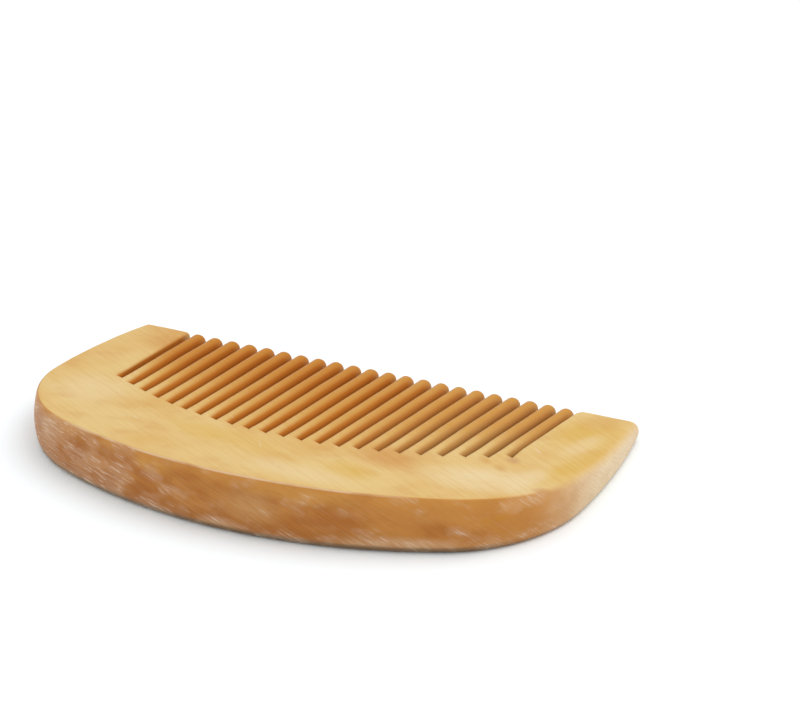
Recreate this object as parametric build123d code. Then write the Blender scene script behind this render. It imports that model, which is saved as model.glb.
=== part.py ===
from build123d import *
import math
import os

# Half-moon hair comb, cut from one wooden board. All sizes are in millimetres.
#
# It is drawn in the board's own mid-plane: X runs along the comb, the tooth tips lie on Y = 0 and
# the curved back is towards -Y. At the end it is tilted so that it lies on its lower face.

# Board
LENGTH = 92.0  # over the widest part of the curved rim
WIDTH = 52.0  # from the tooth tips to the crest of the back
BOARD = 10.0  # thickness at the crest of the back
TIP_THICKNESS = 3.0  # thickness at the tooth tips

# Outline of the rim: tangent arcs, the same on both sides
BACK_RADIUS = 82.0
SIDE_RADIUS = 99.0
SHOULDER_RADIUS = 22.0
WIDEST_AT = 24.5  # distance of the widest part from the tooth tips
CROWN_RADIUS = 14.0  # the rim is rounded across the board's thickness

# Teeth
TOOTH_COUNT = 22  # fine teeth, between the two wide ones at the ends
PITCH = 3.08
GAP = 0.8  # width of the saw cut between two teeth
FIELD_OFFSET = -1.4  # the fine teeth sit a little towards -X
ROOT_DEPTH = 33.4  # depth of the saw cut in the middle of the comb
ROOT_RADIUS = 63.0  # the line of the cuts' floors curves towards the back
TOOTH_EDGE = 0.9  # rounding of a fine tooth's long edges
NOSE_RADIUS = 1.3  # rounding of the tips across the thickness
OUTER_CORNER = 0.8  # plan rounding of a wide tooth's outer corner
LEFT_INNER_CORNER = 0.8  # plan rounding of the -X wide tooth's inner corner
RIGHT_INNER_CORNER = 2.2  # the same on the +X wide tooth

CLEAR = 5.0  # how far cutting shapes run past the wood

gap_count = TOOTH_COUNT + 1
tooth_width = PITCH - GAP
wedge_half_angle = math.degrees(math.atan((BOARD - TIP_THICKNESS) / 2 / WIDTH))


def gap_middle(index):
    """X of a saw cut's middle, counted from 0 at the -X end."""
    return FIELD_OFFSET + (index - (gap_count - 1) / 2) * PITCH


def gap_depth(index):
    """Distance from the tooth tips to a saw cut's flat floor."""
    across = gap_middle(index) - FIELD_OFFSET
    return ROOT_DEPTH - ROOT_RADIUS + math.sqrt(ROOT_RADIUS**2 - across**2)


def arc_about(centre, radius, start, end):
    """The arc of a circle about centre from the angle start to the angle end, in degrees."""
    return CenterArc(centre, radius, start, end - start)


def rim_section(height):
    """The board's outline at a height above or below the mid-plane, run past the tips."""
    inset = CROWN_RADIUS - math.sqrt(CROWN_RADIUS**2 - height**2)
    side = Vector(LENGTH / 2 - SIDE_RADIUS, -WIDEST_AT)
    back = Vector(0, BACK_RADIUS - WIDTH)

    # The shoulder arc's centre is where circles about the other two centres cross.
    to_side = SIDE_RADIUS - SHOULDER_RADIUS
    to_back = BACK_RADIUS - SHOULDER_RADIUS
    apart = (back - side).length
    along = (apart**2 + to_side**2 - to_back**2) / (2 * apart)
    aside = math.sqrt(to_side**2 - along**2)
    unit = (back - side).normalized()
    shoulder = side + unit * along + Vector(unit.Y, -unit.X) * aside

    end_angle = math.degrees(math.asin((WIDEST_AT + CLEAR) / (SIDE_RADIUS - inset)))
    side_angle = math.degrees(math.atan2(shoulder.Y - side.Y, shoulder.X - side.X))
    back_angle = math.degrees(math.atan2(shoulder.Y - back.Y, shoulder.X - back.X))

    right = [
        arc_about(side, SIDE_RADIUS - inset, end_angle, side_angle),
        arc_about(shoulder, SHOULDER_RADIUS - inset, side_angle, back_angle),
    ]
    left = [curve.mirror(Plane.YZ) for curve in right]
    crest = arc_about(back, BACK_RADIUS - inset, back_angle, -180 - back_angle)
    closing = Line(right[0] @ 0, left[0] @ 0)
    return Pos(0, 0, height) * make_face([*right, crest, *left, closing])


def make_board():
    """The whole board before the teeth are cut: crowned rim, wedge thickness and rounded nose."""
    heights = [BOARD / 2 * step / 2 for step in range(-2, 3)]
    rounded_rim = loft([rim_section(height) for height in heights])
    rounded_rim -= column(-LENGTH, LENGTH, 0)
    across_tips = rounded_rim.faces().sort_by(Axis.Y)[-1]
    corners = across_tips.edges().sort_by(Axis.X)
    rounded_rim = fillet([corners[0], corners[-1]], OUTER_CORNER)

    rise = (BOARD - TIP_THICKNESS) / 2 * (WIDTH + CLEAR) / WIDTH
    profile = Polygon(
        (0, TIP_THICKNESS / 2),
        (0, -TIP_THICKNESS / 2),
        (-WIDTH - CLEAR, -TIP_THICKNESS / 2 - rise),
        (-WIDTH - CLEAR, TIP_THICKNESS / 2 + rise),
        align=None,
    )
    nose = profile.vertices().sort_by(Axis.X)[-2:]
    wedge = extrude(Plane.YZ * fillet(nose, NOSE_RADIUS), LENGTH, both=True)
    return rounded_rim & wedge


def column(left, right, depth):
    """A block over the full thickness, from past the tips down to a depth."""
    low = Vector(left, -depth, -BOARD)
    block = Box(right - left, depth + CLEAR, 2 * BOARD, align=Align.MIN)
    return Pos(low) * block


def make_guard(board, wall, depth, inner_corner):
    """A wide end tooth beyond its inner wall, with the inner tip corner rounded in plan."""
    outward = math.copysign(LENGTH, wall)
    plan = Polygon((wall, 0), (wall, -depth), (outward, -depth), (outward, 0), align=None)
    inner = plan.vertices().sort_by_distance((wall, 0))[0]
    return board & extrude(fillet(inner, inner_corner), BOARD, both=True)


def make_tooth(board, left, right, depth):
    """A fine tooth, with its long edges and its tip rounded."""
    tooth = board & column(left, right, depth)
    walls = tooth.faces().filter_by(Plane.YZ)
    foot = tooth.faces().sort_by(Axis.Y)[0]
    edges = [edge for wall in walls for edge in wall.edges() if edge not in foot.edges()]
    return fillet(edges, TOOTH_EDGE)


def make_parts():
    board = make_board()
    parts = {}

    first_wall = gap_middle(0) - GAP / 2
    last_wall = gap_middle(gap_count - 1) + GAP / 2
    end_depth = gap_depth(0)
    parts["left_guard"] = make_guard(board, first_wall, end_depth, LEFT_INNER_CORNER)
    parts["right_guard"] = make_guard(board, last_wall, end_depth, RIGHT_INNER_CORNER)

    # A fine tooth meets the spine at the shallower of the cuts beside it, so the spine's edge
    # steps from column to column.
    in_front = [column(-LENGTH, first_wall, end_depth), column(last_wall, LENGTH, end_depth)]
    for index in range(gap_count):
        left, right = gap_middle(index) - GAP / 2, gap_middle(index) + GAP / 2
        in_front.append(column(left, right, gap_depth(index)))
        if index < TOOTH_COUNT:
            depth = min(gap_depth(index), gap_depth(index + 1))
            name = f"tooth_{index + 1:02d}"
            parts[name] = make_tooth(board, right, right + tooth_width, depth)
            in_front.append(column(right, right + tooth_width, depth))
    parts["spine"] = board - in_front
    return parts


def lay_down(parts):
    """Tilts the comb on to its lower face and puts the origin under the middle of its box."""
    tilted = {name: Rot(X=-wedge_half_angle) * part for name, part in parts.items()}
    box = Compound(list(tilted.values())).bounding_box()
    place = Pos(-box.center().X, -box.center().Y, -box.min.Z)
    return {name: place * part for name, part in tilted.items()}


os.makedirs("parts", exist_ok=True)
for name, part in lay_down(make_parts()).items():
    export_step(part, f"parts/{name}.step")
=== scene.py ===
"""Half-moon wooden hair comb, cut from one board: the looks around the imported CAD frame.

The shapes are drawn in the board's own mid-plane, in millimetres, as the CAD draws them: X runs
along the comb, the tooth tips lie on Y = 0, the curved back is towards -Y, and Z is across the
board. place() tilts them on to the lower face and into the row frame, in metres.
"""

import math

import bmesh
import bpy
import numpy as np
from mathutils import Matrix, Vector, noise
from mathutils.geometry import delaunay_2d_cdt


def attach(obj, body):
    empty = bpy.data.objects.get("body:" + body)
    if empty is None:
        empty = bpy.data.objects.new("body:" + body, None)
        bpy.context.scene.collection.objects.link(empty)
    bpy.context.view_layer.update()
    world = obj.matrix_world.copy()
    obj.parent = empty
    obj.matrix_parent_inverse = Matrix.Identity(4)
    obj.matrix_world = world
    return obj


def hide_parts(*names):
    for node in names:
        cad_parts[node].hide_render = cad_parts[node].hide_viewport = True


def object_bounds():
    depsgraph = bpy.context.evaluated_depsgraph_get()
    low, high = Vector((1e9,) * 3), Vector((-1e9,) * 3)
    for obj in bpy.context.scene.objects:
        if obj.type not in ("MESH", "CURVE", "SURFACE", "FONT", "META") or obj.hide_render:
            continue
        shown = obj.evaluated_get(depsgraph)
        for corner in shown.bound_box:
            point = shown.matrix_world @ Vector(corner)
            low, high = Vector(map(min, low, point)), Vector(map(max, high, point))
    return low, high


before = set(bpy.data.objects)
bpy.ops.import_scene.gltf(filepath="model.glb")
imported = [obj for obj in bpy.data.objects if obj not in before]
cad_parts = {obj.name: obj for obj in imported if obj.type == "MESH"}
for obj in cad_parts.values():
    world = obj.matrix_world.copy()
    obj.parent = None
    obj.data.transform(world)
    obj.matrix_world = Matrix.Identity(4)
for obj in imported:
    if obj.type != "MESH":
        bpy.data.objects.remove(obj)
CAD_LOW, CAD_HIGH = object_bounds()

MM = 0.001

# Board, outline and teeth: the CAD's driving dimensions, in millimetres
LENGTH = 92.0
WIDTH = 52.0
BOARD = 10.0
TIP_THICKNESS = 3.0
BACK_RADIUS = 82.0
SIDE_RADIUS = 99.0
SHOULDER_RADIUS = 22.0
WIDEST_AT = 24.5
CROWN_RADIUS = 14.0
TOOTH_COUNT = 22
PITCH = 3.08
GAP = 0.8
FIELD_OFFSET = -1.4
ROOT_DEPTH = 33.4
ROOT_RADIUS = 63.0

# Rounding that only the looks have, in millimetres
TOOTH_EDGE = 1.1  # full rounding of a tooth's long edges
ROOT_EDGE = 0.9  # the same where the tooth meets the spine
GUARD_EDGE = 0.5  # rounding of the guards' inner edges
EDGE_FADE = 4.0  # distance over which the root's rounding passes into the others
FLOOR_SLANT = 0.45  # each gap's floor runs askew, towards the back on its +X side
FLOOR_RUN = 5.0  # a tooth's cross-sections follow the floor over this distance
GUARD_KNEE = 0.5  # from a guard's rounded inner edge to its straight joint
KNEE_CLEARANCE = 0.2  # the least that is left of it at the inner corner
MOST_ROUND = 0.98  # largest rounding, as a share of half the thickness or the width
NOSE_RADIUS = 1.3  # tips, across the thickness
NOSE_LENGTH = 1.2  # fine tips, in plan: an ellipse this long
NOSE_WIDTH = 0.7  # width left at the very tip
LEFT_INNER_CORNER = 0.5
RIGHT_INNER_CORNER = 2.4
OUTER_CORNER = 0.8
ARRIS = 0.45  # rounding of the rim's upper edge
WORN_ARRIS = 1.4  # the same at the worn +X end
LOWER_ARRIS = 1.3

# Mesh steps: lengths in millimetres, and counts
RIM_STEP = 0.45
GRID_STEP = 0.7
ROW_SPACING = 0.87  # of the grid's rows, as a share of its step
EDGE_CLEARANCE = 0.45  # from the grid to the face's edge, in the same way
TOOTH_STEP = 0.55
ARC_STEPS = 6
CROWN_STEPS = 20
TOOTH_FACE_STEPS = 2
WALL_STEPS = 8
GAP_STEPS = 4
GUARD_STEPS = 14
TIP_STEPS = 10
MERGE_DISTANCE = 1e-7  # of points, when the big faces are cut into triangles

# Hand finish and wear, in millimetres
NOISE_SEED = 1  # without a seed, the surface's unevenness would follow the clock
WOBBLE_SIZE = 9.0  # of the surface's slow unevenness
WOBBLE = 0.055  # its height
WOBBLE_AT = (3.1, 7.7, 1.9)  # where in the noise it is read
FINER = 2.7  # how many times smaller the fine unevenness is
FINE_WOBBLE = 0.016
FINE_WOBBLE_AT = (9.3, 2.2, 5.4)
FLAT_FOOT = 1.5  # the unevenness grows to full over this height above the lower face
BUMP_DEPTH = 0.08  # of the grain and the scratches, which are bumps only
WORN_FROM, WORN_TO = 0.88, 0.99  # X part of the rim's outward normal where its edge wears round
BROWN_FROM, BROWN_TO = 0.5, 14.0  # a tooth turns orange over these distances from its foot
SHARP_ANGLE = 38  # degrees between two faces that don't shade into each other
WOOD_SPECULAR = 0.15  # a dry, oiled surface rather than a lacquered one
PATCH_CORE = 0.2  # a stain is at full strength over this share of its radius

# View, in millimetres and degrees
VIEW_ANGLES = (29.32, 27.05, -3.0)  # azimuth, elevation and roll
VIEW_DISTANCE = 1166.1
AIM_X = -3.06
AIM_PAST_TIPS = 8.4
LENS = 335.9
SENSOR = 36.0

# Floor and light, in metres and watts
FLOOR_SIZE = 6
FLOOR_DROP = 0.00002  # keeps the floor clear of the comb's flat lower face
FLOOR_COLOUR = (0.925, 0.975, 1, 1)
FLOOR_ROUGHNESS = 0.7
KEY_PLACE = (0.3, 0.2, 0.6)
KEY_SIZE = 0.5
KEY_POWER = 1.37

# Wood colours, and colours that paint shade and reflection on the wood
HONEY = (0.61, 0.372, 0.105, 1)
PALE = (0.65, 0.455, 0.17, 1)
ORANGE = (0.53, 0.25, 0.050, 1)
GOLD = (0.60, 0.37, 0.069, 1)
TOOTH = (0.53, 0.26, 0.040, 1)
# Painted shade and painted orange reflection for the fine teeth's tips
TIP_SHADE = (0.47, 0.18, 0.007, 1)
RUSSET = (0.34, 0.11, 0.017, 1)
COPPER = (0.44, 0.18, 0.039, 1)
UMBER = (0.28, 0.085, 0.014, 1)
AMBER = (0.52, 0.23, 0.047, 1)
CREAM = (0.69, 0.53, 0.28, 1)
# Painted shade for the gaps and the teeth's flanks: the next three
GAP_SHADE = (0.50, 0.17, 0.018, 1)
PALE_GAP_SHADE = (0.50, 0.26, 0.074, 1)
DEEP_GAP_SHADE = (0.42, 0.125, 0.010, 1)
WORN = (0.72, 0.54, 0.35, 1)
BLEACHED = (0.67, 0.515, 0.325, 1)
TAN = (0.49, 0.26, 0.097, 1)
GILT = (0.52, 0.25, 0.056, 1)
RUST_SPOT = (0.46, 0.19, 0.022, 1)
BEIGE = (0.54, 0.34, 0.19, 1)
# Painted shade for the rim's foot
CONTACT_SHADE = (0.20, 0.12, 0.064, 1)
SCUFF = (0.70, 0.55, 0.41, 1)

# Stains on the upper face, and painted shade at the guards' tips: centre and size in mm in the row
# frame, turn, strength, colour
FACE_PATCHES = [
    ((17, -7, 8), (9, 6, 6), -12, 0.8, ORANGE),
    ((35, -8, 7), (15, 7, 6), 8, 0.95, CREAM),
    ((43, 2, 5), (4, 17, 6), -8, 0.9, GOLD),
    ((39, 17, 4), (8, 10, 6), 0, 0.9, GOLD),
    ((39.5, -4.5, 7), (3.5, 6, 4), -15, 0.8, CREAM),
    ((40.4, 12.5, 4.8), (2.8, 8, 3), -8, 0.5, CREAM),
    # Painted shade: the next two darken the guards' tips
    ((38.6, 22, 3.6), (5, 5, 4), 0, 0.35, ORANGE),
    ((-38.6, 24.5, 3.2), (5, 3.5, 4), 0, 0.55, ORANGE),
    ((30.2, -0.6, 7), (2.6, 1.1, 4), -40, 0.5, ORANGE),
    ((33.9, -2.4, 7), (2.4, 1.2, 4), -40, 0.5, ORANGE),
    ((33.9, 1.5, 6), (2.2, 1.5, 4), -40, 0.8, TAN),
    ((14.8, -14.5, 8), (7, 4, 6), -20, 0.7, GOLD),
    ((-12.8, -11.3, 8), (8, 4, 6), -20, 0.6, GOLD),
    ((43.5, -7.5, 7), (2.2, 1.5, 3), 30, 0.8, TAN),
    ((-36, -4, 6), (9, 9, 6), 20, 0.5, CREAM),
    ((-35, 20, 4), (8, 6, 6), 0, 0.7, ORANGE),
    ((-30, 6, 5), (5, 8, 6), 0, 0.5, GOLD),
    ((-5, -12, 8), (12, 4, 6), -15, 0.5, GOLD),
    ((8, -19, 9), (14, 4, 5), -5, 0.5, CREAM),
]

# Stains on the rim, in the same way
RIM_PATCHES = [
    ((11.7, -24.4, 8.3), (15, 4, 1.7), 0, 0.6, GILT),
    ((4, -25.5, 5.5), (6.5, 4, 3.6), 0, 0.65, TAN),
    ((-14.2, -24.1, 8.0), (5, 4, 1.6), 0, 0.7, ORANGE),
    ((32.4, -19.3, 4.2), (5, 4, 2.2), 25, 0.6, RUSSET),
    ((19.5, -23.5, 5.2), (6, 4, 2.2), 15, 0.5, RUSSET),
    ((39.8, -14.1, 5.4), (1.6, 2, 0.9), 45, 0.8, RUST_SPOT),
    ((38.3, -15.5, 5.4), (1.3, 2, 0.8), 45, 0.7, RUST_SPOT),
    ((36, -16.5, 3), (4, 4, 2.2), 35, 0.45, RUSSET),
    ((43.7, -9, 3.4), (4, 4, 2.4), 60, 0.35, COPPER),
    ((26, -21.5, 1.4), (14, 6, 2.2), 19, 0.65, BEIGE),
    ((-1.5, -25.7, 1.3), (6, 4, 1.8), 0, 0.5, BEIGE),
    ((-36, -17.3, 6.2), (5, 5, 3), -35, 0.5, BEIGE),
]

# Small dents and scratches on the upper face: centre and size in mm, turn, strength
MARKS = [
    ((35.3, 6.9, 5.6), (1.1, 0.22, 1.5), -35, 0.6),
    ((36.0, 6.2, 5.6), (0.9, 0.18, 1.5), -30, 0.6),
    ((34.6, 7.6, 5.6), (0.6, 0.2, 1.5), -40, 0.4),
    ((-1.8, -12.2, 8.2), (1.6, 0.12, 1.5), -55, 0.6),
    ((-2.6, -11.0, 8.2), (0.8, 0.15, 1.5), -50, 0.4),
    ((4.3, -18.3, 9.0), (0.9, 0.2, 1.5), -40, 0.4),
    ((-23.9, -11.4, 8.0), (1.1, 0.25, 1.5), -35, 0.4),
    ((-31.0, -4.0, 7.0), (0.8, 0.2, 1.5), -35, 0.3),
    ((-11.5, -3.5, 7.6), (1.3, 0.14, 1.5), -25, 0.6),
    ((10.4, 3.5, 6.6), (1.2, 0.14, 1.5), -25, 0.6),
]

# The growth layers stand on edge across the comb: turn of their frame, whose Z is across them
LAYER_TURN = Matrix((
    (0.842, -0.436, 0.318),
    (0.173, 0.777, 0.605),
    (-0.511, -0.455, 0.730),
)).to_euler()

gap_count = TOOTH_COUNT + 1
tooth_width = PITCH - GAP
wedge_slope = (BOARD - TIP_THICKNESS) / 2 / WIDTH
wedge_angle = math.atan(wedge_slope)


# ---------------------------------------------------------------- board geometry


def smooth(value, low, high):
    """0 below low, 1 above high, and an even S between them."""
    share = np.clip((value - low) / (high - low), 0, 1)
    return share * share * (3 - 2 * share)


def gap_middle(index):
    """X of a gap's middle. Gap 0 lies beside the -X guard."""
    return FIELD_OFFSET + (index - (gap_count - 1) / 2) * PITCH


def gap_depth(index):
    """How far a gap reaches in from the tips, to the arc of the roots."""
    across = gap_middle(index) - FIELD_OFFSET
    return ROOT_DEPTH - ROOT_RADIUS + math.sqrt(ROOT_RADIUS**2 - across**2)


def root_line():
    """Knots of the line where the teeth leave the spine: a slanting floor across each gap and
    its rounded edges, and a step on each tooth."""
    half = GAP / 2 + ROOT_EDGE
    knots = [(gap_middle(0) - half - GUARD_KNEE, -gap_depth(0))]
    for index in range(gap_count):
        middle, depth = gap_middle(index), gap_depth(index)
        knots.append((middle - half, FLOOR_SLANT * half - depth))
        knots.append((middle + half, -FLOOR_SLANT * half - depth))
    knots.append((gap_middle(gap_count - 1) + half + GUARD_KNEE, -gap_depth(gap_count - 1)))
    return np.array(knots)


def root_y(x):
    """Y of the root line at x."""
    knots = root_line()
    return np.interp(x, knots[:, 0], knots[:, 1])


def follow_root(ring, y, foot):
    """Shifts a cross-section at y so that it follows the root line near a tooth's foot."""
    x, z = np.array(ring).T
    share = 1 - smooth(y - foot, 0.0, FLOOR_RUN)
    moved = y + (root_y(x) - foot) * share
    scaled = z * half_thickness(moved) / half_thickness(y)
    return np.stack([x, moved, scaled], -1).tolist()


def half_thickness(y):
    """Half the board's thickness at y. The board is a wedge, thickest at its back."""
    return TIP_THICKNESS / 2 - wedge_slope * y


side_centre = np.array([LENGTH / 2 - SIDE_RADIUS, -WIDEST_AT])
back_centre = np.array([0, BACK_RADIUS - WIDTH])


def find_shoulder():
    """The shoulder arc's centre, where circles about the other two centres cross."""
    to_side = SIDE_RADIUS - SHOULDER_RADIUS
    to_back = BACK_RADIUS - SHOULDER_RADIUS
    link = back_centre - side_centre
    apart = np.hypot(*link)
    along = (apart**2 + to_side**2 - to_back**2) / (2 * apart)
    aside = math.sqrt(to_side**2 - along**2)
    unit = link / apart
    return side_centre + unit * along + np.array([unit[1], -unit[0]]) * aside


shoulder_centre = find_shoulder()


def outline_x(y):
    """X of the +X side's mid-plane outline, on its side arc, at y."""
    return side_centre[0] + np.sqrt(SIDE_RADIUS**2 - (y - side_centre[1]) ** 2)


def rim_path(depth):
    """Points of the mid-plane outline and their outward normals, from the +X guard's joint, at
    a depth from the tips, over the back to the -X guard's joint."""
    to_side = shoulder_centre - side_centre
    to_back = shoulder_centre - back_centre
    turns = [
        math.asin((WIDEST_AT - depth) / SIDE_RADIUS),
        math.atan2(to_side[1], to_side[0]),
        math.atan2(to_back[1], to_back[0]),
        -math.pi / 2,
    ]
    centres = [side_centre, shoulder_centre, back_centre]
    radii = [SIDE_RADIUS, SHOULDER_RADIUS, BACK_RADIUS]
    points, normals = [], []
    for centre, radius, start, end in zip(centres, radii, turns, turns[1:]):
        steps = max(2, round(radius * (start - end) / RIM_STEP))
        for turn in np.linspace(start, end, steps, endpoint=False):
            normals.append([math.cos(turn), math.sin(turn)])
            points.append(centre + radius * np.array(normals[-1]))
    points, normals = np.array(points), np.array(normals)
    mirror = np.array([-1, 1])
    points = np.vstack([points, [0, -WIDTH], points[::-1] * mirror])
    normals = np.vstack([normals, [0, -1], normals[::-1] * mirror])
    return points, normals


def rim_profile(half, tilt, upper, lower):
    """The rim's cross-section from the lower face to the upper one, as outward offsets from the
    mid-plane outline and heights: rounded edge, crowned rim, rounded edge. tilt is the faces'
    slope along the outward normal, as an angle. half, tilt, upper and lower may be arrays."""
    half, tilt, upper, lower = np.broadcast_arrays(half, tilt, upper, lower)

    def corner(radius):
        level = half * np.cos(tilt) - radius + CROWN_RADIUS * np.sin(tilt)
        turn = np.arcsin(level / (CROWN_RADIUS - radius)) - tilt
        offset = -CROWN_RADIUS + (CROWN_RADIUS - radius) * np.cos(turn)
        return turn, offset, (CROWN_RADIUS - radius) * np.sin(turn)

    def arc(radius, turn, offset, height):
        rows = []
        for share in np.linspace(0, 1, ARC_STEPS + 1):
            angle = turn + (np.pi / 2 - tilt - turn) * share
            rows.append((offset + radius * np.cos(angle), height + radius * np.sin(angle)))
        return rows

    upper_turn, upper_offset, upper_height = corner(upper)
    lower_turn, lower_offset, lower_height = corner(lower)
    rows = [(x, -z) for x, z in arc(lower, lower_turn, lower_offset, lower_height)[::-1]]
    for share in np.linspace(0, 1, CROWN_STEPS + 1)[1:-1]:
        angle = -lower_turn + (upper_turn + lower_turn) * share
        rows.append((-CROWN_RADIUS + CROWN_RADIUS * np.cos(angle), CROWN_RADIUS * np.sin(angle)))
    rows += arc(upper, upper_turn, upper_offset, upper_height)
    return np.array(rows)  # rows x (offset, height) x stations


def arris_radius(outward):
    """The rim's upper edge is crisp, and worn round where the rim faces +X. outward is the X part
    of its outward normal."""
    return ARRIS + (WORN_ARRIS - ARRIS) * smooth(outward, WORN_FROM, WORN_TO)


def wall_side(x, outward, half, upper, lower):
    """A flat side wall with rounded edges, from the lower face to the upper one."""
    rows = []
    for angle in np.linspace(-math.pi / 2, 0, ARC_STEPS + 1):
        inset = lower * (1 - math.cos(angle))
        rows.append((x - outward * inset, -half + lower * (1 + math.sin(angle))))
    for share in np.linspace(0, 1, WALL_STEPS + 1)[1:-1]:
        rows.append((x, (-half + lower) * (1 - share) + (half - upper) * share))
    for angle in np.linspace(0, math.pi / 2, ARC_STEPS + 1):
        inset = upper * (1 - math.cos(angle))
        rows.append((x - outward * inset, half - upper * (1 - math.sin(angle))))
    return rows


def between(start, end, steps):
    """Inner points of a straight run."""
    shares = np.linspace(0, 1, steps + 1)[1:-1]
    return [tuple(np.array(start) * (1 - share) + np.array(end) * share) for share in shares]


def round_off(distance, radius):
    """How far a rounded corner of that radius stands back at a distance from the end."""
    if distance >= radius:
        return 0.0
    return radius - math.sqrt(radius**2 - (radius - distance) ** 2)


def stations(depth, nose):
    """Y of a tooth's cross-sections, from its foot to its tip, closer together at the tip."""
    body = np.linspace(-depth, -nose, max(3, round((depth - nose) / TOOTH_STEP)), endpoint=False)
    tip = [-nose * (1 - math.cos(angle)) for angle in np.linspace(math.pi / 2, 0, TIP_STEPS + 1)]
    return [*body, *tip]


def edge_rounding(y, foot, full):
    """Rounding of a tooth's long edges at y. full is their rounding away from the root."""
    return ROOT_EDGE + (full - ROOT_EDGE) * float(smooth(y - foot, 0.0, EDGE_FADE))


# ---------------------------------------------------------------- meshes


def wobble(point):
    """Hand-finished wood is never quite flat: a small smooth shift of each point, in mm."""
    seen = Vector(point) / WOBBLE_SIZE
    shift = noise.noise_vector(seen + Vector(WOBBLE_AT)) * WOBBLE
    shift += noise.noise_vector(seen * FINER + Vector(FINE_WOBBLE_AT)) * FINE_WOBBLE
    return shift


def place(points):
    """Board coordinates in mm to the row frame in metres, with the wood's small unevenness. The
    lower face stays flat on the ground."""
    points = np.asarray(points, float)
    moved = points + np.array([wobble(point) for point in points]) * lift_share(points)[:, None]
    cos, sin = math.cos(wedge_angle), math.sin(wedge_angle)
    crest = (WIDTH - CROWN_RADIUS) * cos + CROWN_RADIUS
    x = moved[:, 0]
    y = moved[:, 1] * cos + moved[:, 2] * sin + CAD_LOW.y / MM + crest
    z = -moved[:, 1] * sin + moved[:, 2] * cos + TIP_THICKNESS / 2 * cos
    return np.stack([x, y, np.maximum(z, 0)], -1) * MM


def lift_share(points):
    """0 on the lower face, and 1 from FLAT_FOOT above it."""
    above = points[:, 2] + half_thickness(points[:, 1])
    return smooth(above, 0.0, FLAT_FOOT)


def make_piece(name, points, faces, masks, material):
    """A closed piece from board points. masks are named values for each point."""
    mesh = bpy.data.meshes.new(name)
    mesh.from_pydata(place(points).tolist(), [], faces)
    shape = bmesh.new()
    shape.from_mesh(mesh)
    bmesh.ops.recalc_face_normals(shape, faces=shape.faces)
    shape.to_mesh(mesh)
    shape.free()
    for key, values in masks.items():
        attribute = mesh.attributes.new(key, "FLOAT", "POINT")
        attribute.data.foreach_set("value", np.asarray(values, np.float32))
    mesh.validate()
    mesh.update()
    mesh.polygons.foreach_set("use_smooth", [True] * len(mesh.polygons))
    mesh.set_sharp_from_angle(angle=math.radians(SHARP_ANGLE))
    mesh.materials.append(material)
    piece = bpy.data.objects.new(name + "_wood", mesh)
    bpy.context.scene.collection.objects.link(piece)
    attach(piece, "root")
    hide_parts(name)


def loft(rings):
    """Points and faces of a closed skin over equal rings, with a fan over each end."""
    count = len(rings[0])
    points = [point for ring in rings for point in ring]
    faces = []
    for row in range(len(rings) - 1):
        for column in range(count):
            a, b = row * count + column, row * count + (column + 1) % count
            faces.append((a, b, b + count, a + count))
    for ring, base in ((rings[0], 0), (rings[-1], (len(rings) - 1) * count)):
        hub = len(points)
        points.append(tuple(np.mean(ring, axis=0)))
        faces += [(base + column, base + (column + 1) % count, hub) for column in range(count)]
    return points, faces


def skin_depth(points):
    """How far below the nearer face each point lies, in mm."""
    points = np.asarray(points, float)
    return half_thickness(points[:, 1]) - abs(points[:, 2])


def make_tooth(index, material):
    """A fine tooth: a rounded blade that grows out of the spine and ends in a nose."""
    left = gap_middle(index) + GAP / 2
    right = left + tooth_width
    foot = -(gap_depth(index) + gap_depth(index + 1)) / 2
    rings = []
    for y in stations(-foot, NOSE_LENGTH):
        half = half_thickness(y) - round_off(-y, NOSE_RADIUS)
        pull = 0.0
        if -y < NOSE_LENGTH:
            full = math.sqrt(1 - (1 + y / NOSE_LENGTH) ** 2)
            pull = (tooth_width - NOSE_WIDTH) / 2 * (1 - full)
        low, high = left + pull, right - pull
        most = MOST_ROUND * min(half, (high - low) / 2)
        edge = min(edge_rounding(y, foot, TOOTH_EDGE), most)
        left_side = wall_side(low, -1, half, edge, edge)
        right_side = wall_side(high, 1, half, edge, edge)
        bottom = between(left_side[0], right_side[0], TOOTH_FACE_STEPS)
        top = between(right_side[-1], left_side[-1], TOOTH_FACE_STEPS)
        rings.append(follow_root(left_side[::-1] + bottom + right_side + top, y, foot))
    points, faces = loft(rings)
    name = f"tooth_{index + 1:02d}"
    plan = np.asarray(points)[:, 1]
    masks = {"skin": skin_depth(points), "tine": smooth(plan - foot, BROWN_FROM, BROWN_TO)}
    make_piece(name, points, faces, masks, material)


def guard_ring(side, y, wall, foot, inner_corner):
    """A wide end tooth's cross-section at y. side is +1 or -1, wall the inner wall's X. Returns
    its runs: over the lower face, up the rim, over the upper face, and down the inner wall."""
    half = half_thickness(y) - round_off(-y, NOSE_RADIUS)
    inner = wall + side * round_off(-y, inner_corner)
    outer = side * (outline_x(y) - round_off(-y, OUTER_CORNER))
    inner_edge = min(edge_rounding(y, foot, GUARD_EDGE), MOST_ROUND * half)
    past_corner = (inner - wall) * side + inner_edge + KNEE_CLEARANCE
    knee = wall + side * max(ROOT_EDGE + GUARD_KNEE, past_corner)
    upper = min(float(arris_radius(side)), MOST_ROUND * half)
    lower = min(LOWER_ARRIS, MOST_ROUND * half)
    lean = math.cos(math.asin((y + WIDEST_AT) / SIDE_RADIUS))
    rim = [(outer + side * offset / lean, z) for offset, z in rim_profile(half, 0.0, upper, lower)]
    inside = wall_side(inner, -side, half, inner_edge, inner_edge)
    bottom = [(knee, -half), *between((knee, -half), rim[0], GUARD_STEPS)]
    top = [*between(rim[-1], (knee, half), GUARD_STEPS), (knee, half)]
    return bottom, rim, top, inside[::-1]


def rim_mask():
    """The rim mask along rim_profile: 1 from the lower face up, and down to 0 over the upper
    edge's rounding."""
    fall = [1 - step / ARC_STEPS for step in range(ARC_STEPS + 1)]
    return [1.0] * (ARC_STEPS + CROWN_STEPS) + fall


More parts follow.
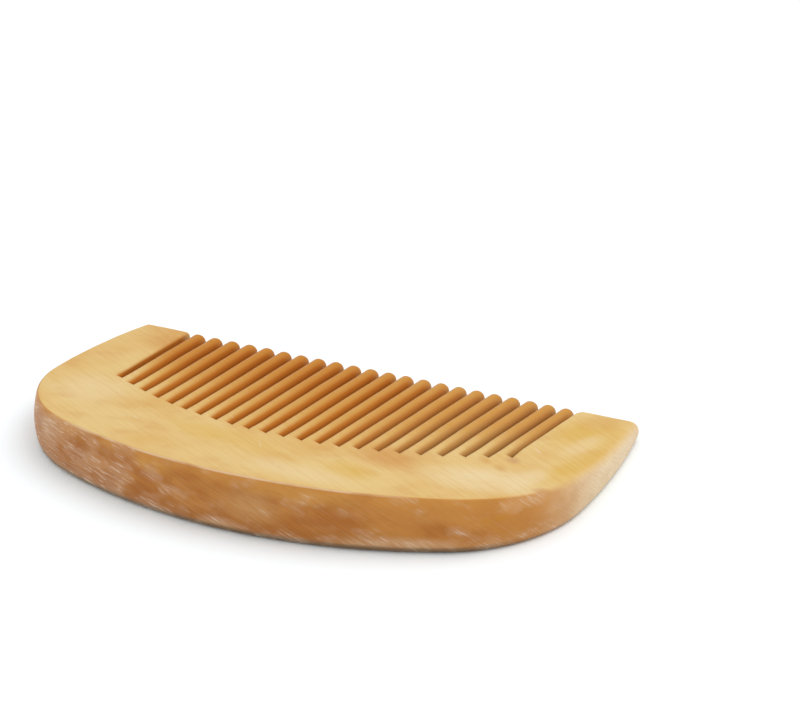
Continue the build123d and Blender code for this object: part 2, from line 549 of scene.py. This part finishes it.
def make_guard(name, side, inner_corner, material):
    """A wide end tooth, with the comb's rim on its outer side. side is +1 or -1."""
    index = gap_count - 1 if side > 0 else 0
    wall = gap_middle(index) + side * GAP / 2
    foot = -gap_depth(index)
    rings, masks = [], []
    for y in stations(-foot, max(inner_corner, NOSE_LENGTH)):
        bottom, rim, top, inside = guard_ring(side, y, wall, foot, inner_corner)
        rings.append(follow_root(bottom + rim + top + inside, y, foot))
        worn_off = float(smooth(-y, 0.0, NOSE_RADIUS))
        masks += [0.0] * len(bottom)
        masks += [value * worn_off for value in rim_mask()]
        masks += [0.0] * (len(top) + len(inside))
    points, faces = loft(rings)
    masks += [0.0] * (len(points) - len(masks))
    make_piece(name, points, faces, {"skin": skin_depth(points), "rim": masks}, material)


def front_edge():
    """Plan points of the spine's front edge, from the +X guard's joint to the -X one's."""
    knots = root_line()[::-1]
    path = [knots[0]]
    for start, end in zip(knots, knots[1:]):
        path.extend(np.linspace(start, end, GAP_STEPS + 1)[1:])
    return [tuple(point) for point in path]


def fill_face(loop):
    """Triangulates a plan polygon with an even grid of inner points. Returns the extra points
    and the triangles, which index the loop first and then the extra points."""
    loop = np.asarray(loop, float)
    low, high = loop.min(0), loop.max(0)
    ends = np.roll(loop, -1, axis=0)
    rows = np.arange(low[1] + GRID_STEP / 2, high[1], GRID_STEP * ROW_SPACING)
    extra = []
    for row, y in enumerate(rows):
        shift = GRID_STEP / 2 * (row % 2)
        for x in np.arange(low[0] + shift, high[0], GRID_STEP):
            point = np.array([x, y])
            crossed = (loop[:, 1] > y) != (ends[:, 1] > y)
            start, end = loop[crossed], ends[crossed]
            share = (y - start[:, 1]) / (end[:, 1] - start[:, 1])
            crossing = start[:, 0] + share * (end[:, 0] - start[:, 0])
            inside = (crossing > x).sum() % 2 == 1
            if inside and np.hypot(*(loop - point).T).min() > GRID_STEP * EDGE_CLEARANCE:
                extra.append(point)
    plan = [Vector(point) for point in [*loop, *extra]]
    edges = [(index, (index + 1) % len(loop)) for index in range(len(loop))]
    only_inside = 1
    triangles = delaunay_2d_cdt(plan, edges, [], only_inside, MERGE_DISTANCE)[2]
    return extra, [tuple(triangle) for triangle in triangles]


def make_spine(material):
    """The thick back: crowned rim, two faces, the gaps' floors and the joints to the teeth."""
    depth = gap_depth(0)
    path, normals = rim_path(depth)
    profile = rim_profile(
        half_thickness(path[:, 1]),
        np.arctan(wedge_slope * normals[:, 1]),
        arris_radius(normals[:, 0]),
        LOWER_ARRIS,
    )
    columns = []
    for station in range(len(path)):
        offset, height = profile[:, 0, station], profile[:, 1, station]
        plan = path[station] + offset[:, None] * normals[station]
        columns.append([(x, y, z) for (x, y), z in zip(plan, height)])
    joints = []
    for side, station in ((1, 0), (-1, -1)):
        wall = gap_middle(gap_count - 1 if side > 0 else 0) + side * GAP / 2
        bottom, rim, top, _ = guard_ring(side, -depth, wall, -depth, 0.0)
        columns[station] = [(x, -depth, z) for x, z in rim]
        joints.append((top[:-1], bottom[1:]))
    (right_top, right_bottom), (left_top, left_bottom) = joints

    points = [point for column in columns for point in column]
    rim_values = rim_mask() * len(columns)
    rows = len(columns[0])
    faces = []
    for station in range(len(columns) - 1):
        for row in range(rows - 1):
            a = station * rows + row
            faces.append((a, a + 1, a + rows + 1, a + rows))

    def add(new):
        start = len(points)
        points.extend(new)
        rim_values.extend([0.0] * len(new))
        return list(range(start, start + len(new)))

    # The front wall hangs from the upper face's front edge to the lower one's.
    front = front_edge()
    wall_rows = []
    for share in np.linspace(0, 1, WALL_STEPS + 1):
        wall_rows.append(add([(x, y, half_thickness(y) * (1 - 2 * share)) for x, y in front]))
    for upper_row, lower_row in zip(wall_rows, wall_rows[1:]):
        for a in range(len(front) - 1):
            faces.append((upper_row[a], upper_row[a + 1], lower_row[a + 1], lower_row[a]))

    # Joint faces and the two big faces share these runs of points.
    right_top, right_bottom, left_top, left_bottom = [
        add([(x, -depth, z) for x, z in run])
        for run in (right_top, right_bottom, left_top, left_bottom)
    ]
    rim_bottom = list(range(0, len(columns) * rows, rows))
    rim_top = [index + rows - 1 for index in rim_bottom]
    right_column = list(range(rows))
    left_column = list(range(rim_bottom[-1], len(columns) * rows))
    right_wall = [row[0] for row in wall_rows]
    left_wall = [row[-1] for row in wall_rows]
    faces.append(tuple(right_column + right_top + right_wall + right_bottom))
    faces.append(tuple(left_column + left_top + left_wall + left_bottom))

    upper_loop = right_top + wall_rows[0] + left_top[::-1] + rim_top[::-1]
    lower_loop = right_bottom[::-1] + wall_rows[-1] + left_bottom + rim_bottom[::-1]
    for sign, loop in ((1, upper_loop), (-1, lower_loop)):
        extra, triangles = fill_face([points[index][:2] for index in loop])
        inner = add([(x, y, sign * half_thickness(y)) for x, y in extra])
        index_of = loop + inner
        faces += [tuple(index_of[corner] for corner in triangle) for triangle in triangles]

    masks = {"skin": skin_depth(points), "rim": rim_values}
    make_piece("spine", points, faces, masks, material)


# ---------------------------------------------------------------- material


class Graph:
    """Adds a material's nodes. Each method returns the new node's output."""

    def __init__(self, material):
        self.tree = material.node_tree
        self.point = self.node("ShaderNodeTexCoord", output="Object")

    def node(self, kind, inputs=None, output=0, **settings):
        made = self.tree.nodes.new(kind)
        for key, value in settings.items():
            setattr(made, key, value)
        for key, value in (inputs or {}).items():
            if isinstance(value, bpy.types.NodeSocket):
                self.tree.links.new(value, made.inputs[key])
            else:
                made.inputs[key].default_value = value
        return made.outputs[output]

    def attribute(self, name):
        return self.node("ShaderNodeAttribute", output="Fac", attribute_name=name)

    def frame(self, centre, size, turn):
        """The point in a frame with that centre, turn and unit lengths, in mm."""
        inputs = {
            "Vector": self.point,
            "Location": [value * MM for value in centre],
            "Rotation": turn,
            "Scale": [value * MM for value in size],
        }
        return self.node("ShaderNodeMapping", inputs, vector_type="TEXTURE")

    def noise(self, size, detail=2.0, turn=(0, 0, 0), seed=0.0):
        """Noise with features of that size in mm, from 0 to 1 about 0.5."""
        inputs = {
            "Vector": self.frame((0, 0, 0), size, turn),
            "W": seed,
            "Scale": 1.0,
            "Detail": detail,
            "Roughness": 0.5,
        }
        return self.node("ShaderNodeTexNoise", inputs, noise_dimensions="4D")

    def layers(self, along, across, detail=2.0, seed=0.0):
        """Noise in thin sheets, like the wood's growth layers."""
        return self.noise((along, along, across), detail, LAYER_TURN, seed)

    def ramp(self, value, low, high, start=0.0, end=1.0):
        """start up to low, end from high, and an even S between them."""
        inputs = {"Value": value, "From Min": low, "From Max": high, "To Min": start, "To Max": end}
        return self.node("ShaderNodeMapRange", inputs, interpolation_type="SMOOTHSTEP")

    def math(self, operation, first, second):
        return self.node("ShaderNodeMath", {0: first, 1: second}, operation=operation)

    def mix(self, share, first, second):
        """The first colour at share 0, and the second at share 1."""
        inputs = {"Factor": share, 6: first, 7: second}
        return self.node("ShaderNodeMix", inputs, output=2, data_type="RGBA")

    def axis(self, name):
        """One coordinate of the point, in mm."""
        part = self.node("ShaderNodeSeparateXYZ", {"Vector": self.point}, output=name)
        return self.math("DIVIDE", part, MM)

    def patch(self, centre, size, turn):
        """1 in a soft round patch, 0 outside it."""
        inside = self.frame(centre, size, (0, 0, math.radians(turn)))
        far = self.node("ShaderNodeVectorMath", {0: inside}, output="Value", operation="LENGTH")
        return self.ramp(far, PATCH_CORE, 1.0, 1.0, 0.0)


def make_wood():
    """One wood for the whole comb. The masks rim, skin and tine tell its parts apart."""
    material = bpy.data.materials.new("comb_wood")
    material.use_nodes = True
    graph = Graph(material)
    rim = graph.attribute("rim")
    skin = graph.attribute("skin")
    tine = graph.attribute("tine")
    along, back, height_up = graph.axis("X"), graph.axis("Y"), graph.axis("Z")

    fibre = graph.layers(9.0, 0.30, detail=3.0)
    hair = graph.layers(4.0, 0.12, detail=1.0, seed=4.0)
    streak = graph.layers(2.6, 0.22, detail=2.0, seed=9.0)
    cloud = graph.noise((16, 16, 16), detail=2.0, seed=1.3)
    mottle = graph.noise((6, 4, 3), detail=3.0, seed=7.1)

    # Faces: honey wood with pale clouds and orange stains
    face = graph.mix(graph.ramp(cloud, 0.38, 0.62), HONEY, PALE)
    stain = graph.ramp(mottle, 0.5, 0.75, 0.0, 0.4)
    face = graph.mix(stain, face, ORANGE)
    for centre, size, turn, share, colour in FACE_PATCHES:
        spot = graph.math("MULTIPLY", graph.patch(centre, size, turn), share)
        ragged = graph.math("MULTIPLY", spot, graph.ramp(mottle, 0.2, 0.6, 0.6, 1.1))
        face = graph.mix(ragged, face, colour)
    face = graph.mix(graph.ramp(fibre, 0.45, 0.7, 0.0, 0.17), face, ORANGE)
    face = graph.mix(graph.ramp(fibre, 0.5, 0.3, 0.0, 0.14), face, PALE)

    # Fine teeth: more orange than the faces; towards their tips, painted shade and a painted orange
    # reflection deepen it
    browned = graph.math("MULTIPLY", tine, graph.ramp(mottle, 0.2, 0.7, 0.8, 1.0))
    face = graph.mix(browned, face, TOOTH)
    # Painted shade and painted orange reflection: the fine teeth darken towards their tips
    tip_shade = graph.math("MULTIPLY", tine, graph.ramp(back, 3, 21))
    tip_shade = graph.math("MULTIPLY", tip_shade, graph.ramp(along, 12, -14, 0.4, 1.0))
    face = graph.mix(tip_shade, face, TIP_SHADE)

    # Rim: red-brown and mottled, bleached at the +X end; painted light makes it golden below its upper
    # edge, and painted shade darkens its lower part and its foot
    side = graph.mix(graph.ramp(mottle, 0.35, 0.68), RUSSET, COPPER)
    side = graph.mix(graph.ramp(cloud, 0.55, 0.7, 0.0, 0.5), side, UMBER)
    side = graph.mix(graph.ramp(fibre, 0.42, 0.66, 0.0, 0.5), side, COPPER)
    side = graph.mix(graph.ramp(hair, 0.5, 0.72, 0.0, 0.4), side, UMBER)
    # Painted light: a golden band below the upper edge, where the crowned rim faces up
    painted_light_band = graph.math("MULTIPLY", graph.ramp(skin, 2.6, 0.4), graph.ramp(mottle, 0.3, 0.6, 0.4, 1.0))
    side = graph.mix(graph.math("MULTIPLY", painted_light_band, 0.75), side, AMBER)
    # Painted shade: the rim's lower part darker, in patches
    low = graph.ramp(height_up, 4.5, 0.5)
    low = graph.math("MULTIPLY", low, graph.ramp(mottle, 0.3, 0.6, 0.35, 0.75))
    side = graph.mix(low, side, UMBER)
    side = graph.mix(graph.ramp(along, 8, 38, 0.0, 0.55), side, AMBER)
    side = graph.mix(graph.ramp(fibre, 0.5, 0.32, 0.0, 0.3), side, TAN)
    for centre, size, turn, share, colour in RIM_PATCHES:
        spot = graph.math("MULTIPLY", graph.patch(centre, size, turn), share)
        ragged = graph.math("MULTIPLY", spot, graph.ramp(streak, 0.35, 0.6, 0.55, 1.2))
        side = graph.mix(ragged, side, colour)
    bleach = graph.math("MULTIPLY", graph.ramp(along, 36, 45), graph.ramp(back, -12, 8))
    bleach = graph.math("MULTIPLY", bleach, graph.ramp(mottle, 0.25, 0.55, 0.75, 1.0))
    side = graph.mix(bleach, side, graph.mix(graph.ramp(streak, 0.48, 0.62, 0.0, 0.2), BLEACHED, TAN))
    # Painted shade: a dark olive band along the rim's foot, where it meets the ground, but not at its
    # two ends
    contact_shade = graph.math("MULTIPLY", graph.ramp(height_up, 1.5, 0.8), graph.ramp(along, 46, 34))
    contact_shade = graph.math("MULTIPLY", contact_shade, graph.ramp(along, -46, -38))
    side = graph.mix(contact_shade, side, CONTACT_SHADE)
    soft_end = graph.ramp(along, 36, 43, 0.5, 1.0)
    wood = graph.mix(graph.ramp(rim, 0.0, soft_end), face, side)

    # Gaps and the rounded flanks of the teeth: painted shade, a deep orange-brown below the faces,
    # deeper towards the tips
    inside = graph.math("MULTIPLY", graph.ramp(skin, 0.0, 0.48), graph.ramp(rim, 0.3, 0.0))
    inside = graph.math("MULTIPLY", inside, graph.ramp(back, 25.2, 22.5, 0.3, 1.0))
    gap_shade = graph.mix(graph.ramp(along, 0, 26), GAP_SHADE, PALE_GAP_SHADE)
    wood = graph.mix(inside, wood, graph.mix(tip_shade, gap_shade, DEEP_GAP_SHADE))

    # Wear: a pale line along the rim's upper edge, and whitish abrasion in streaks on the rim. A
    # whitish veil grows over the rim towards its -X end and its lower edge
    edge = graph.math("MULTIPLY", graph.ramp(rim, 0.05, 0.4), graph.ramp(rim, 0.95, 0.6))
    edge = graph.math("MULTIPLY", edge, graph.ramp(mottle, 0.3, 0.6, 0.15, 0.65))
    edge = graph.math("MULTIPLY", edge, graph.ramp(along, 30, 20))
    wood = graph.mix(edge, wood, graph.mix(graph.ramp(along, -36, -28), ORANGE, WORN))
    rubbed = graph.noise((5, 5, 3), detail=2.0, seed=3.0)
    left_end = graph.ramp(along, 5, -34, 0.0, 0.19)
    low_edge = graph.ramp(height_up, 3.2, 1.2, 0.0, 0.12)
    limit = graph.math("ADD", rubbed, graph.math("ADD", left_end, low_edge))
    amount = graph.ramp(limit, 0.5, 0.75)
    veil = graph.math("MULTIPLY", amount, graph.ramp(hair, 0.3, 0.6, 0.05, 0.35))
    scratch = graph.math("MULTIPLY", graph.ramp(streak, 0.52, 0.66), amount)
    scratch = graph.math("MAXIMUM", scratch, veil)
    scratch = graph.math("MULTIPLY", scratch, graph.math("MULTIPLY", rim, 0.6))
    wood = graph.mix(scratch, wood, SCUFF)
    dent = 0.0
    for centre, size, turn, share in MARKS:
        mark = graph.math("MULTIPLY", graph.patch(centre, size, turn), share)
        dent = graph.math("MAXIMUM", mark, dent)
    wood = graph.mix(dent, wood, SCUFF)

    # Satin where the hand polishes it, dull in the gaps, in the painted shade along the rim's foot and
    # in the scratches
    dull = graph.math("MULTIPLY", graph.math("MAXIMUM", inside, contact_shade), 0.9)
    shine = graph.ramp(fibre, 0.3, 0.7, 0.40, 0.52)
    shine = graph.math("ADD", shine, graph.math("MULTIPLY", scratch, 0.2))
    shine = graph.math("MAXIMUM", shine, dull)

    height = graph.math("MULTIPLY", fibre, 0.6)
    height = graph.math("ADD", height, graph.math("MULTIPLY", hair, 0.3))
    height = graph.math("ADD", height, graph.math("MULTIPLY", scratch, 0.5))
    height = graph.math("SUBTRACT", height, dent)
    relief = {"Height": height, "Strength": 0.35, "Distance": BUMP_DEPTH * MM}
    bump = graph.node("ShaderNodeBump", relief, output="Normal")

    shader = material.node_tree.nodes["Principled BSDF"]
    shader.inputs["Specular IOR Level"].default_value = WOOD_SPECULAR
    for key, value in (("Base Color", wood), ("Roughness", shine), ("Normal", bump)):
        material.node_tree.links.new(value, shader.inputs[key])
    return material


# ---------------------------------------------------------------- the comb

noise.seed_set(NOISE_SEED)
wood = make_wood()
make_spine(wood)
make_guard("left_guard", -1, LEFT_INNER_CORNER, wood)
make_guard("right_guard", 1, RIGHT_INNER_CORNER, wood)
for tooth in range(TOOTH_COUNT):
    make_tooth(tooth, wood)


# ---------------------------------------------------------------- floor, light and camera


def make_floor():
    bpy.ops.mesh.primitive_plane_add(size=FLOOR_SIZE, location=(0, 0, -FLOOR_DROP))
    floor = bpy.context.object
    floor.name = "floor"
    material = bpy.data.materials.new("floor")
    material.use_nodes = True
    shader = material.node_tree.nodes["Principled BSDF"]
    shader.inputs["Base Color"].default_value = FLOOR_COLOUR
    shader.inputs["Roughness"].default_value = FLOOR_ROUGHNESS
    floor.data.materials.append(material)


def add_key():
    """A square soft light that faces the comb."""
    light = bpy.data.lights.new("key", "AREA")
    light.shape = "SQUARE"
    light.size = KEY_SIZE
    light.energy = KEY_POWER
    lamp = bpy.data.objects.new("key", light)
    bpy.context.scene.collection.objects.link(lamp)
    lamp.location = KEY_PLACE
    lamp.rotation_euler = (-Vector(KEY_PLACE)).to_track_quat("-Z", "Y").to_euler()


def make_lights():
    world = bpy.data.worlds.new("studio")
    world.use_nodes = True
    background = world.node_tree.nodes["Background"]
    background.inputs["Color"].default_value = (1, 1, 1, 1)
    background.inputs["Strength"].default_value = 1.0
    bpy.context.scene.world = world
    add_key()
    bpy.context.scene.view_settings.view_transform = "Standard"


def make_camera():
    azimuth, elevation, roll = (math.radians(angle) for angle in VIEW_ANGLES)
    aim = Vector((AIM_X, CAD_HIGH.y / MM + AIM_PAST_TIPS, 0))
    back = Vector((
        math.sin(azimuth) * math.cos(elevation),
        -math.cos(azimuth) * math.cos(elevation),
        math.sin(elevation),
    ))
    right = back.cross(Vector((0, 0, -1))).normalized()
    up = back.cross(right)
    cos, sin = math.cos(roll), math.sin(roll)
    right, up = right * cos + up * sin, up * cos - right * sin
    turn = Matrix((right, up, back)).transposed()
    camera = bpy.data.cameras.new("camera")
    camera.lens = LENS
    camera.sensor_width = SENSOR
    seat = bpy.data.objects.new("camera", camera)
    bpy.context.scene.collection.objects.link(seat)
    place_at = Matrix.Translation((aim + back * VIEW_DISTANCE) * MM)
    seat.matrix_world = place_at @ turn.to_4x4()
    bpy.context.scene.camera = seat


make_floor()
make_lights()
make_camera()
